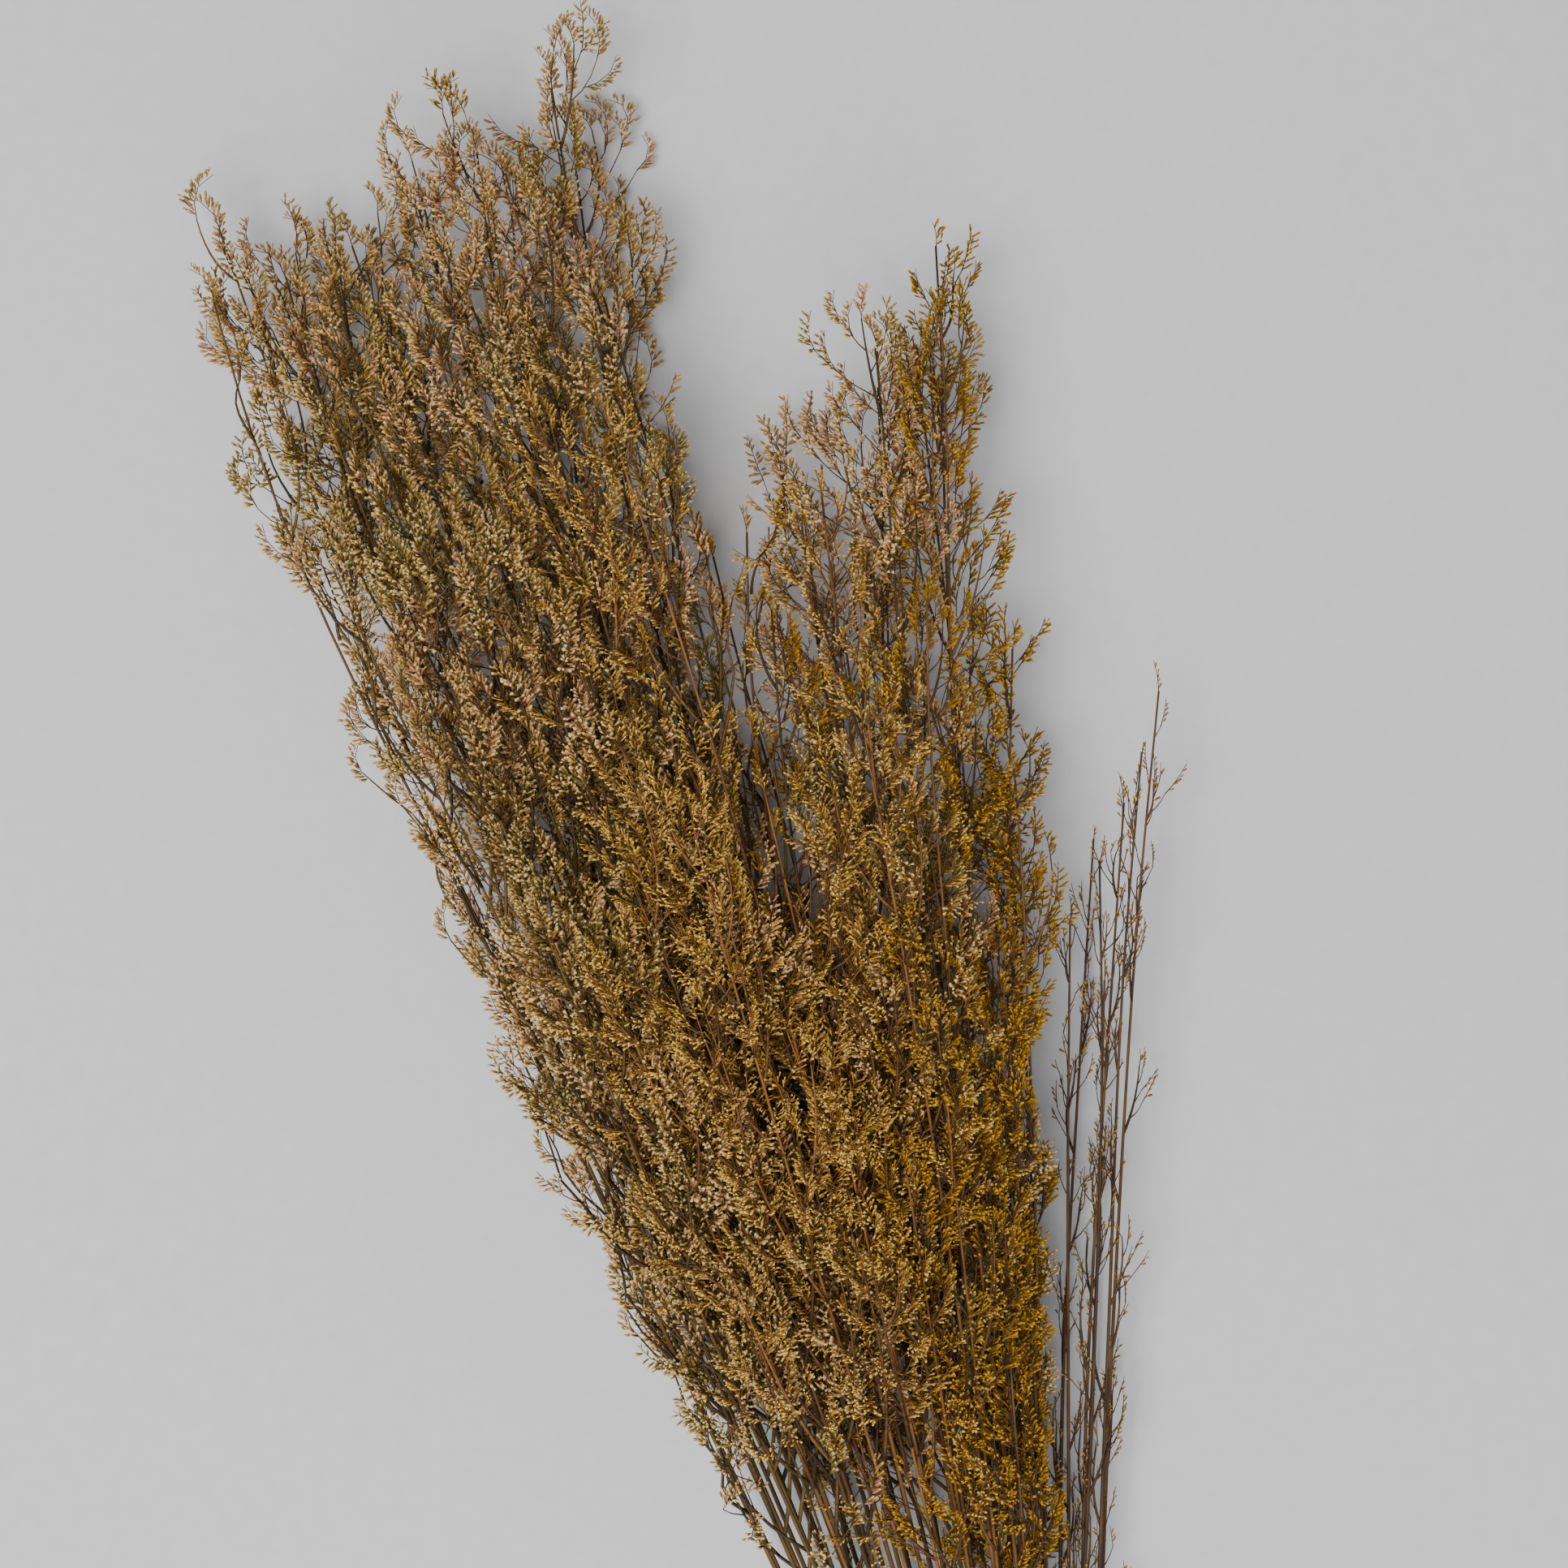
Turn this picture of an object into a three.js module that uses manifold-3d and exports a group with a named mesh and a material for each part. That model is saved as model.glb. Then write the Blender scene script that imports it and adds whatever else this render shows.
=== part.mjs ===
// A tied bunch of dried sea-lavender stalks, lying on a flat surface.
// Millimetres, +Z up. The stalks run along +Y from their cut ends to their heads.
// While it is modelled, the middle of the tie is at x = 0, y = 0.

import * as THREE from 'three';
import { mergeVertices } from 'three/addons/utils/BufferGeometryUtils.js';
import Module from 'manifold-3d';

const wasm = await Module();
wasm.setup();

// ---- Driving dimensions ----------------------------------------------------

const CLEARANCE = 0.35; // air between neighbouring stalks, and under the twine

// Stalks
const FOOT_RADIUS = 1.4; // stem at its cut end
const STEM_TIP_RADIUS = 0.6; // stem where its last spray starts
const FOOT_LENGTH = 66; // longest cut end below the tie
const FOOT_TRIM = 14; // how much shorter the shortest one is
const SPRAY_RADIUS = 4.2; // thickest part of a flowering spray
const SPRAY_LENGTH = 74; // flowering top of a stem
const BRANCH_LENGTH = 112; // side branch with its spray
const BRANCH_RADIUS = 0.8; // side branch where it leaves the stem
const TWIG_RADIUS = 1.1; // thickest part of a bare stalk's side twig
const TWIG_LENGTH = 58; // side twig of a bare stalk

// Crest: heights of the tallest tips above the tie, from the left edge across
const CREST_LEFT_EDGE = 600;
const CREST_LEFT_SHOULDER = 616;
const CREST_LEFT = 662;
const CREST_PARTING = 506;
const CREST_RIGHT = 600;
const CREST_RIGHT_EDGE = 462;
const TIP_SCATTER = 32; // a tip may fall this far short of the crest

// Fan: how far the stems stand from the middle line at FAN_HEIGHT
const FAN_HEIGHT = 640;
const FAN_BEND = 24; // roundness of the bend where the stems leave the tie
const FAN_LEFT = [246, 270, 272, 262, 240]; // first stalk of each row, lowest row first
const FAN_RIGHT = [-4, -12, -14, -22, -32]; // last flowering stalk of each row
const UPTURN_HEIGHT = 430; // above this the stems turn back towards upright
const UPTURN = 0.00055; // how fast they do, against the straight fan
const PARTING_SHIFT = 18; // the two lobes draw apart by this much on each side
const PARTING_START = 400; // height where they begin to part
const FOOT_FLARE = 1.45; // spread of the cut ends, against the width at the tie

// Depth of the bunch, over all its rows
const HEAD_DEPTH = 122;
const HEAD_DEPTH_HEIGHT = 440; // height where the bunch reaches that depth

// Tie
const TWINE_RADIUS = 1.15;
const TWINE_TURNS = 5;
const TWINE_STEPS = 24; // straight steps in each turn

// ---- Which stalk grows where ----------------------------------------------
// Rows from the surface upwards; each letter is a flowering stalk, from left to right.
// b = blush, w = wheat, m = mustard. Bare side stems follow on the right: each one's
// place in the fan and the height of its tip.

const ROWS = [
  { stalks: 'bbbbmbmm', drop: 30, bare: [[26, 398], [42, 352]] },
  { stalks: 'bbbbbbwbbmm', drop: 0, bare: [[20, 372], [34, 410], [48, 446]] },
  { stalks: 'bbbbbbbmwbmm', drop: 22, bare: [[28, 392], [40, 426]] },
  { stalks: 'bbbbwwwwwmm', drop: 112, bare: [] },
  { stalks: 'bwwwwmmm', drop: 226, bare: [] },
];

const VARIETIES = {
  b: { name: 'blush_stalk', color: 0x9a7d55, branches: 3, spray: 1, rise: 0.36 },
  w: { name: 'wheat_stalk', color: 0xa87a3c, branches: 3, spray: 1, rise: 0.46 },
  m: { name: 'mustard_stalk', color: 0xb8891e, branches: 3, spray: 1, rise: 0.42 },
  s: { name: 'bare_stalk', color: 0x54402a, branches: 2, spray: 0, rise: 0.3 },
};

// ---- Derived sizes ---------------------------------------------------------

const PITCH = 2 * FOOT_RADIUS + CLEARANCE; // stem to stem inside the tie
const TWINE_PITCH = 2 * TWINE_RADIUS + CLEARANCE;
const COLLAR = TWINE_TURNS * TWINE_PITCH / 2 + 2 * TWINE_RADIUS; // stems stay packed this far
const PACK_DEPTH = ROWS.length * PITCH;
const inRow = (row) => row.stalks.length + row.bare.length;
const PACK_WIDTH = Math.max(...ROWS.map(inRow)) * PITCH;
// The packed stems' ellipse is stretched until it passes outside every outer stem.
const PACK_STRETCH = Math.max(...ROWS.map((row, r) => Math.hypot(
  (inRow(row) - 1) * PITCH / PACK_WIDTH,
  Math.abs(r - (ROWS.length - 1) / 2) * PITCH * 2 / PACK_DEPTH,
)));
const TWINE_OFFSET = FOOT_RADIUS + CLEARANCE + TWINE_RADIUS;
const TIE_HALF_WIDTH = PACK_WIDTH / 2 * PACK_STRETCH + TWINE_OFFSET;
const TIE_HALF_DEPTH = PACK_DEPTH / 2 * PACK_STRETCH + TWINE_OFFSET;
const TIE_LEVEL = TIE_HALF_DEPTH + TWINE_RADIUS; // the twine rests on the surface
const PACK_BASE = TIE_LEVEL - PACK_DEPTH / 2;
const FAN_SLOPE = Math.max(...FAN_LEFT) / FAN_HEIGHT;
const PARTING = 0.6; // where the lobes part, as a place across a row's flowering stalks
const CREST = [
  [0, CREST_LEFT_EDGE],
  [0.26, CREST_LEFT_SHOULDER],
  [0.48, CREST_LEFT],
  [PARTING + 0.02, CREST_PARTING],
  [0.9, CREST_RIGHT],
  [1, CREST_RIGHT_EDGE],
];

// ---- Helpers ---------------------------------------------------------------

const { clamp, lerp, smoothstep } = THREE.MathUtils;

// A repeatable stream of numbers from 0 to 1 for one stalk.
function stream(seed) {
  let state = seed * 2654435761 >>> 0;
  return () => {
    state = state + 0x6d2b79f5 >>> 0;
    let t = Math.imul(state ^ state >>> 15, 1 | state);
    t = t + Math.imul(t ^ t >>> 7, 61 | t) ^ t;
    return ((t ^ t >>> 14) >>> 0) / 4294967296;
  };
}

// A smooth line through [place, value] pairs.
function through(pairs, place) {
  for (let i = 1; i < pairs.length; i += 1) {
    const [a, low] = pairs[i - 1];
    const [b, high] = pairs[i];
    if (place <= b) {
      return lerp(low, high, smoothstep(place, a, b));
    }
  }
  return pairs[pairs.length - 1][1];
}

// How far the stems have fanned out at a height above the tie: 0 in it, 1 at FAN_HEIGHT.
function fanned(y) {
  const run = (height) => {
    const free = Math.max(0, height - COLLAR);
    const upturn = UPTURN / FAN_SLOPE * Math.max(0, height - UPTURN_HEIGHT) ** 2;
    return Math.hypot(free, FAN_BEND) - FAN_BEND - upturn;
  };
  return run(y) / run(FAN_HEIGHT);
}

// Every stalk of a row from left to right: its kind, its place in the tie, its place in the
// fan, and the height of the crest above it.
function standing(row, r) {
  const last = row.stalks.length - 1;
  const flowering = [...row.stalks].map((letter, i) => ({
    letter,
    fan: lerp(-FAN_LEFT[r], FAN_RIGHT[r], i / last),
    parted: i / last < PARTING ? -i / last / PARTING : (1 - i / last) / (1 - PARTING),
    crest: through(CREST, i / last) - row.drop,
    scatter: TIP_SCATTER,
  }));
  const bare = row.bare.map(([fan, tip]) => ({
    letter: 's',
    fan,
    parted: 0,
    crest: tip,
    scatter: 0,
  }));
  const all = [...flowering, ...bare];
  all.forEach((place, i) => {
    place.tied = (i - (all.length - 1) / 2) * PITCH;
  });
  return all;
}

// How far a stalk stands from the middle line at a height.
function acrossAt(place, y) {
  if (y < 0) {
    const below = Math.max(0, -y - COLLAR) / Math.max(1, FOOT_LENGTH - COLLAR);
    return place.tied * lerp(1, FOOT_FLARE, below);
  }
  const parting = PARTING_SHIFT * smoothstep(y, PARTING_START, FAN_HEIGHT);
  return lerp(place.tied, place.fan, fanned(y)) + parting * place.parted;
}

// Depth of one row at a height. Every row keeps to its own level.
function rowDepth(y) {
  const t = smoothstep(y, COLLAR, HEAD_DEPTH_HEIGHT);
  return lerp(PACK_DEPTH, HEAD_DEPTH, t) / ROWS.length;
}

// Lowest level that the stalks reach at a height: clear of the twine, then the surface.
function baseLevel(y) {
  return lerp(PACK_BASE, CLEARANCE, smoothstep(Math.abs(y), COLLAR, 4 * COLLAR));
}

// Middle of a stalk's own cell, in row r.
function cellCentre(r, place, y) {
  const z = baseLevel(y) + rowDepth(y) * (r + 0.5);
  return new THREE.Vector3(acrossAt(place, y), y, z);
}

// Room on each side of the cell's middle for something of a given radius.
function cellRoom(r, place, y, radius) {
  const gaps = place.neighbours.map((other) => Math.abs(acrossAt(other, y) - acrossAt(place, y)));
  return {
    x: Math.max(0, Math.min(...gaps) / 2 - radius - CLEARANCE / 2),
    z: Math.max(0, rowDepth(y) / 2 - radius - CLEARANCE / 2),
  };
}

// A closed mesh as a solid for joining.
function solid(geometry) {
  geometry.deleteAttribute('normal');
  geometry.deleteAttribute('uv');
  const merged = mergeVertices(geometry, 1e-4);
  const index = merged.index.array;
  const triangles = [];
  for (let i = 0; i < index.length; i += 3) {
    const [a, b, c] = [index[i], index[i + 1], index[i + 2]];
    if (a !== b && b !== c && c !== a) {
      triangles.push(a, b, c);
    }
  }
  return new wasm.Manifold(new wasm.Mesh({
    numProp: 3,
    vertProperties: new Float32Array(merged.attributes.position.array),
    triVerts: new Uint32Array(triangles),
  }));
}

// The joined solid as three.js geometry.
function geometryOf(manifold) {
  const mesh = manifold.getMesh();
  const geometry = new THREE.BufferGeometry();
  geometry.setAttribute('position', new THREE.BufferAttribute(mesh.vertProperties, 3));
  geometry.setIndex(new THREE.BufferAttribute(mesh.triVerts, 1));
  geometry.computeVertexNormals();
  return geometry;
}

// A turned limb whose axis follows a path. rings holds [height, radius] pairs,
// and every section stays level, so its width across the bunch is its diameter.
function limb(rings, path, sides, turn) {
  const profile = [new THREE.Vector2(0, rings[0][0])];
  for (const [height, radius] of rings) {
    profile.push(new THREE.Vector2(radius, height));
  }
  profile.push(new THREE.Vector2(0, rings[rings.length - 1][0]));
  const geometry = new THREE.LatheGeometry(profile, sides);
  geometry.rotateY(turn);
  const position = geometry.attributes.position;
  for (let i = 0; i < position.count; i += 1) {
    const height = position.getY(i);
    const centre = path(height);
    position.setX(i, position.getX(i) + centre.x);
    position.setZ(i, position.getZ(i) + centre.z);
  }
  return solid(geometry);
}

// ---- Stalks ----------------------------------------------------------------

const STEM_SIDES = 5;
const BRANCH_SIDES = 4;
// Every stem has rings at these heights, so neighbours bend together near the tie.
const SHARED_RINGS = [-4 * COLLAR, -COLLAR, COLLAR, COLLAR + 28, COLLAR + 90];
const RING_STEP = 150; // further up, a ring about every so far

function stalk(r, place, seed) {
  const kind = VARIETIES[place.letter];
  const next = stream(seed);
  const foot = -FOOT_LENGTH + FOOT_TRIM * next();
  const tip = place.crest - place.scatter * next();
  const flowering = kind.spray ? SPRAY_LENGTH : TWIG_LENGTH;
  const sprayStart = tip - flowering;

  // Stem radius shrinks evenly from foot to spray.
  const stemRadius = (y) => {
    const t = clamp((y - foot) / (sprayStart - foot), 0, 1);
    return lerp(FOOT_RADIUS, STEM_TIP_RADIUS, t);
  };

  // The stem sways inside its cell as far as there is room.
  const sway = { x: next() * 6.28, z: next() * 6.28, wave: lerp(150, 230, next()) };
  const stem = (y) => {
    const centre = cellCentre(r, place, y);
    const room = cellRoom(r, place, y, kind.spray ? SPRAY_RADIUS : stemRadius(y));
    centre.x += 0.7 * room.x * Math.sin(y / sway.wave * 3 + sway.x);
    centre.z += 0.55 * room.z * Math.sin(y / sway.wave * 2.2 + sway.z);
    return centre;
  };

  const rings = [[foot, FOOT_RADIUS]];
  for (const y of SHARED_RINGS.filter((height) => height > foot + FOOT_RADIUS)) {
    rings.push([y, stemRadius(y)]);
  }
  const free = sprayStart - SHARED_RINGS[SHARED_RINGS.length - 1];
  const steps = Math.max(1, Math.round(free / RING_STEP));
  for (let k = 1; k <= steps; k += 1) {
    const y = sprayStart - free * (1 - k / steps);
    rings.push([y, stemRadius(y)]);
  }
  if (kind.spray) {
    rings.push([tip - 0.5 * flowering, SPRAY_RADIUS]);
  }
  rings.push([tip, kind.spray ? 0.8 : STEM_TIP_RADIUS / 2]);
  let body = limb(rings, stem, STEM_SIDES, next());

  // The stem's axis as it was made, straight from ring to ring.
  const axis = (y) => {
    const k = Math.max(1, rings.findIndex(([height]) => height >= y));
    const [low, high] = [rings[k - 1][0], rings[k][0]];
    return stem(low).lerp(stem(high), (y - low) / (high - low));
  };

  // Side branches leave the stem one above another and lean into free room.
  const reach = kind.spray ? BRANCH_LENGTH : TWIG_LENGTH;
  const thickness = kind.spray ? SPRAY_RADIUS : TWIG_RADIUS;
  const lowest = tip * kind.rise;
  const highest = tip - 0.75 * reach - 0.3 * flowering;
  let turn = next() * 6.28;
  for (let k = 0; k < kind.branches; k += 1) {
    const start = lerp(lowest, highest, (k + 0.5 * next()) / kind.branches);
    const end = start + reach * lerp(0.85, 1.1, next());
    turn += 2.4;
    const out = { x: Math.cos(turn), z: Math.sin(turn) };
    const span = Math.max(Math.abs(out.x), Math.abs(out.z));
    const branch = (y) => {
      const t = clamp((y - start) / (end - start), 0, 1);
      const room = cellRoom(r, place, y, thickness);
      const centre = cellCentre(r, place, y);
      centre.x += room.x * out.x / span;
      centre.z += room.z * out.z / span;
      return axis(Math.min(y, tip)).lerp(centre, t ** 0.8);
    };
    const branchRadius = Math.min(BRANCH_RADIUS, 0.85 * stemRadius(start));
    body = body.add(limb([
      [start, branchRadius],
      [lerp(start, end, 0.6), thickness],
      [end, 0.5],
    ], branch, BRANCH_SIDES, next()));
  }
  return { geometry: geometryOf(body), kind };
}

// ---- Tie -------------------------------------------------------------------

// Twine wound side by side around the packed stems; both ends are tucked underneath.
function twine() {
  const points = [];
  for (let k = 0; k <= TWINE_TURNS * TWINE_STEPS; k += 1) {
    const angle = -Math.PI / 2 + k / TWINE_STEPS * 2 * Math.PI;
    const y = (k / TWINE_STEPS - TWINE_TURNS / 2) * TWINE_PITCH;
    const x = TIE_HALF_WIDTH * Math.cos(angle);
    const z = TIE_LEVEL + TIE_HALF_DEPTH * Math.sin(angle);
    points.push(new THREE.Vector3(x, y, z));
  }
  const section = new THREE.Shape();
  section.absarc(0, 0, TWINE_RADIUS, 0, 2 * Math.PI);
  const geometry = new THREE.ExtrudeGeometry(section, {
    steps: TWINE_TURNS * TWINE_STEPS,
    curveSegments: 3,
    extrudePath: new THREE.CatmullRomCurve3(points),
  });
  return geometryOf(solid(geometry));
}

// ---- Assembly --------------------------------------------------------------

const bunch = new THREE.Group();
const counts = {};
let seed = 11;

ROWS.forEach((row, r) => {
  const places = standing(row, r);
  places.forEach((place, i) => {
    place.neighbours = [places[i - 1], places[i + 1]].filter(Boolean);
  });
  for (const place of places) {
    const { geometry, kind } = stalk(r, place, seed);
    const material = new THREE.MeshStandardMaterial({
      color: kind.color,
      roughness: 0.9,
      metalness: 0,
    });
    const mesh = new THREE.Mesh(geometry, material);
    counts[kind.name] = (counts[kind.name] ?? 0) + 1;
    mesh.name = `${kind.name}_${String(counts[kind.name]).padStart(2, '0')}`;
    bunch.add(mesh);
    seed += 1;
  }
});

const tie = new THREE.Mesh(
  twine(),
  new THREE.MeshStandardMaterial({ color: 0xa68a5f, roughness: 0.95, metalness: 0 }),
);
tie.name = 'twine_tie';
bunch.add(tie);

// The origin is the middle of the box, on the surface that the bunch lies on.
const box = new THREE.Box3().setFromObject(bunch);
const middle = box.getCenter(new THREE.Vector3());
bunch.position.set(-middle.x, -middle.y, -box.min.z);
bunch.updateMatrixWorld(true);

export default bunch;
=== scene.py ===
"""A tied bunch of dried sea-lavender stalks lying on a pale surface."""
import math

import bmesh
import bpy
import numpy as np
from bpy.props import FloatProperty, FloatVectorProperty, IntProperty, PointerProperty
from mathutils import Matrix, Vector


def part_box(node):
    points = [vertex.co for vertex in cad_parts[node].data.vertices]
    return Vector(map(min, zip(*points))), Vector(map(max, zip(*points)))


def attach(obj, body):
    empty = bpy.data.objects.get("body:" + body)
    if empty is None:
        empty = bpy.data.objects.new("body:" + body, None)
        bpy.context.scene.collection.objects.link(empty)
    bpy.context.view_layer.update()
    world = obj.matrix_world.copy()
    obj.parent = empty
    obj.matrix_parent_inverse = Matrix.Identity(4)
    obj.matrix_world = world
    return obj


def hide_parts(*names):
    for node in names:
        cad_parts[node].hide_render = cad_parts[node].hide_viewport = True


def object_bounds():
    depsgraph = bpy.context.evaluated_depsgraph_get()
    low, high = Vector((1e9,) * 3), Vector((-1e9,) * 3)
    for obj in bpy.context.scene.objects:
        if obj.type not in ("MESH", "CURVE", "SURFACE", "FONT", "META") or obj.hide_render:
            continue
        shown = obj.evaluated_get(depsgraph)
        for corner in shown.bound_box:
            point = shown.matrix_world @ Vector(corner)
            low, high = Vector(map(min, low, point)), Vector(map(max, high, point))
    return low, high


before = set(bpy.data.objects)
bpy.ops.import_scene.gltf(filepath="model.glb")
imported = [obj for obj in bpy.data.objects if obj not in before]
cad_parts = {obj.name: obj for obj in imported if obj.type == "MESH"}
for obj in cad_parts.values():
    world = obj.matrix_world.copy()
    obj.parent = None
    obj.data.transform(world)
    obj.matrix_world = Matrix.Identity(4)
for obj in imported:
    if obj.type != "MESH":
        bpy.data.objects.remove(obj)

bl_info = {
    "name": "Dried Flower Bundle",
    "version": (1, 0, 0),
    "blender": (4, 5, 0),
    "location": "View3D > Sidebar > Bundle",
    "description": "Grows the stalks, winds the tie and lights the bunch",
    "category": "Object",
}

CAD_LOW, CAD_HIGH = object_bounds()
MM = 0.001
TAU = 2 * math.pi
GOLDEN_ANGLE = 2.39996
UP = np.array([0.0, 0.0, 1.0])
FLOOR_GAP = 0.0004  # the pale surface lies this far under the bunch
SURFACE_LIMIT = 0.0006  # no point of the bunch goes lower than this
FOOT_RADIUS = 1.38 * MM
STEM_TIP_RADIUS = 0.34 * MM
TWINE_RADIUS = 1.15 * MM
TWINE_TURNS = 5
TWINE_STEPS = 60  # steps in each turn
TWINE_LAY = 5.2 * MM  # the strands go once round each other in this length
UV_MAP = "OFBake"
FLORET_BAND = (0.02, 0.48)  # v from a floret's foot to its tip
STEM_BAND = (0.54, 0.98)  # v from a limb's foot to its tip
STEM_SIDES = 5  # of a stem in the frame
STEM_POINTS = 44  # points made along each stem
SAME_HEIGHT = 0.01 * MM
SAME_POINT = 0.02 * MM
RING_GAP = 4 * MM  # rings closer together than this are read as one
TINT_AND_SHADE_PATCH = 70 * MM  # size of the patches in which florets share a tint and a darker or lighter tone, partly painted shade
RAGGED_PATCH = 45 * MM  # size of the swells along the bunch's edges


# ---------------------------------------------------------------- numbers


def unit(v):
    return v / np.maximum(np.linalg.norm(v, axis=-1, keepdims=True), 1e-12)


def smooth(x, low, high):
    t = np.clip((np.asarray(x, float) - low) / (high - low), 0, 1)
    return t * t * (3 - 2 * t)


def mix(a, b, t):
    return a + (b - a) * t


def cross_axes(tangent):
    """Two unit vectors square to each tangent: the first lies level, the second points up."""
    level = unit(np.cross(tangent, UP))
    return level, np.cross(level, tangent)


def sideways(tangent, angle):
    level, rise = cross_axes(tangent)
    return level * np.cos(angle)[..., None] + rise * np.sin(angle)[..., None]


def arcs(start, tangent, side, length, open_angle, reach_angle, count):
    """Curved limbs: they leave their parent at open_angle and end up at reach_angle."""
    t = np.linspace(0, 1, count)[None, :, None]
    length = length[:, None]
    first = tangent * np.cos(open_angle)[:, None] + side * np.sin(open_angle)[:, None]
    last = tangent * np.cos(reach_angle)[:, None] + side * np.sin(reach_angle)[:, None]
    p0 = start[:, None]
    p1 = (start + first * length * 0.45)[:, None]
    p2 = (start + last * length)[:, None]
    return (1 - t) ** 2 * p0 + 2 * t * (1 - t) * p1 + t**2 * p2


def along(paths, index, t):
    """Points and unit tangents on chosen paths at places 0 to 1."""
    count = paths.shape[1]
    place = np.clip(t, 0, 0.9999) * (count - 1)
    k = place.astype(int)
    f = (place - k)[:, None]
    a, b = paths[index, k], paths[index, k + 1]
    return a * (1 - f) + b * f, unit(b - a)


def patches(points, size, seed):
    """Slow smooth variation from -1 to 1 over space."""
    rng = np.random.default_rng(seed)
    total = np.zeros(points.shape[:-1])
    for _ in range(5):
        direction = unit(rng.normal(size=3))
        wave = size * rng.uniform(0.6, 1.6)
        total += np.sin(points @ direction * TAU / wave + rng.uniform(0, TAU))
    return np.clip(total / 2.6, -1, 1)


# ---------------------------------------------------------------- meshes


class Shape:
    """Gathers vertices, faces, UVs and material numbers for one mesh."""

    def __init__(self):
        self.points, self.faces, self.uvs, self.slots, self.total = [], [], [], [], 0

    def add(self, points, faces, uvs, slot):
        self.points.append(points.reshape(-1, 3))
        self.uvs.append(uvs.reshape(-1, 2))
        self.faces.append(faces.reshape(-1, 3) + self.total)
        self.slots.append(np.full(faces.size // 3, slot, np.int32))
        self.total += points.size // 3

    def tubes(self, paths, radii, sides, tint, slot):
        """Tapered tubes with closed ends along equal-length paths."""
        low, high = STEM_BAND
        n, m = paths.shape[:2]
        tangent = np.empty_like(paths)
        tangent[:, 1:-1] = paths[:, 2:] - paths[:, :-2]
        tangent[:, 0], tangent[:, -1] = paths[:, 1] - paths[:, 0], paths[:, -1] - paths[:, -2]
        tangent = unit(tangent)
        level, rise = cross_axes(tangent)
        angle = np.arange(sides) * TAU / sides
        level, rise = level[:, :, None], rise[:, :, None]
        ring = level * np.cos(angle)[:, None] + rise * np.sin(angle)[:, None]
        rings = paths[:, :, None] + ring * radii[:, :, None, None]
        ends = paths[:, [0, -1]]
        points = np.concatenate([rings.reshape(n, m * sides, 3), ends], axis=1)
        around = 0.006 * np.abs(np.arange(sides) / sides * 2 - 1)
        u = tint[:, None, None] + np.broadcast_to(around, (n, m, sides))
        v = np.broadcast_to(mix(low, high, np.linspace(0, 1, m))[None, :, None], (n, m, sides))
        uv = np.stack([u, v], -1).reshape(n, m * sides, 2)
        caps = np.stack([np.stack([tint, np.full(n, e)], -1) for e in (low, high)], 1)
        k = np.arange(sides)
        j = (k + 1) % sides
        faces = []
        for row in range(m - 1):
            a, b = row * sides + k, row * sides + j
            c, d = b + sides, a + sides
            faces += [np.stack([a, b, c], 1), np.stack([a, c, d], 1)]
        faces.append(np.stack([np.full(sides, m * sides), j, k], 1))
        last = (m - 1) * sides
        faces.append(np.stack([np.full(sides, m * sides + 1), last + k, last + j], 1))
        faces = np.concatenate(faces)
        first = (np.arange(n) * (m * sides + 2))[:, None, None]
        self.add(points, faces[None] + first, np.concatenate([uv, caps], 1), slot)

    def build(self, name, materials):
        points = np.concatenate(self.points).astype(np.float32)
        faces = np.concatenate(self.faces).astype(np.int32)
        uvs = np.concatenate(self.uvs).astype(np.float32)
        points[:, 2] = np.maximum(points[:, 2], SURFACE_LIMIT)
        mesh = bpy.data.meshes.new(name)
        mesh.vertices.add(len(points))
        mesh.vertices.foreach_set("co", points.ravel())
        mesh.loops.add(faces.size)
        mesh.loops.foreach_set("vertex_index", faces.ravel())
        mesh.polygons.add(len(faces))
        mesh.polygons.foreach_set("loop_start", np.arange(0, faces.size, 3, dtype=np.int32))
        mesh.polygons.foreach_set("loop_total", np.full(len(faces), 3, np.int32))
        mesh.polygons.foreach_set("use_smooth", np.ones(len(faces), bool))
        mesh.polygons.foreach_set("material_index", np.concatenate(self.slots))
        layer = mesh.uv_layers.new(name=UV_MAP)
        layer.uv.foreach_set("vector", uvs[faces.ravel()].ravel())
        for material in materials:
            mesh.materials.append(material)
        mesh.update()
        mesh.validate()
        piece = bpy.data.objects.new(name, mesh)
        bpy.context.scene.collection.objects.link(piece)
        return piece


# ---------------------------------------------------------------- shader maths


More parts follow.
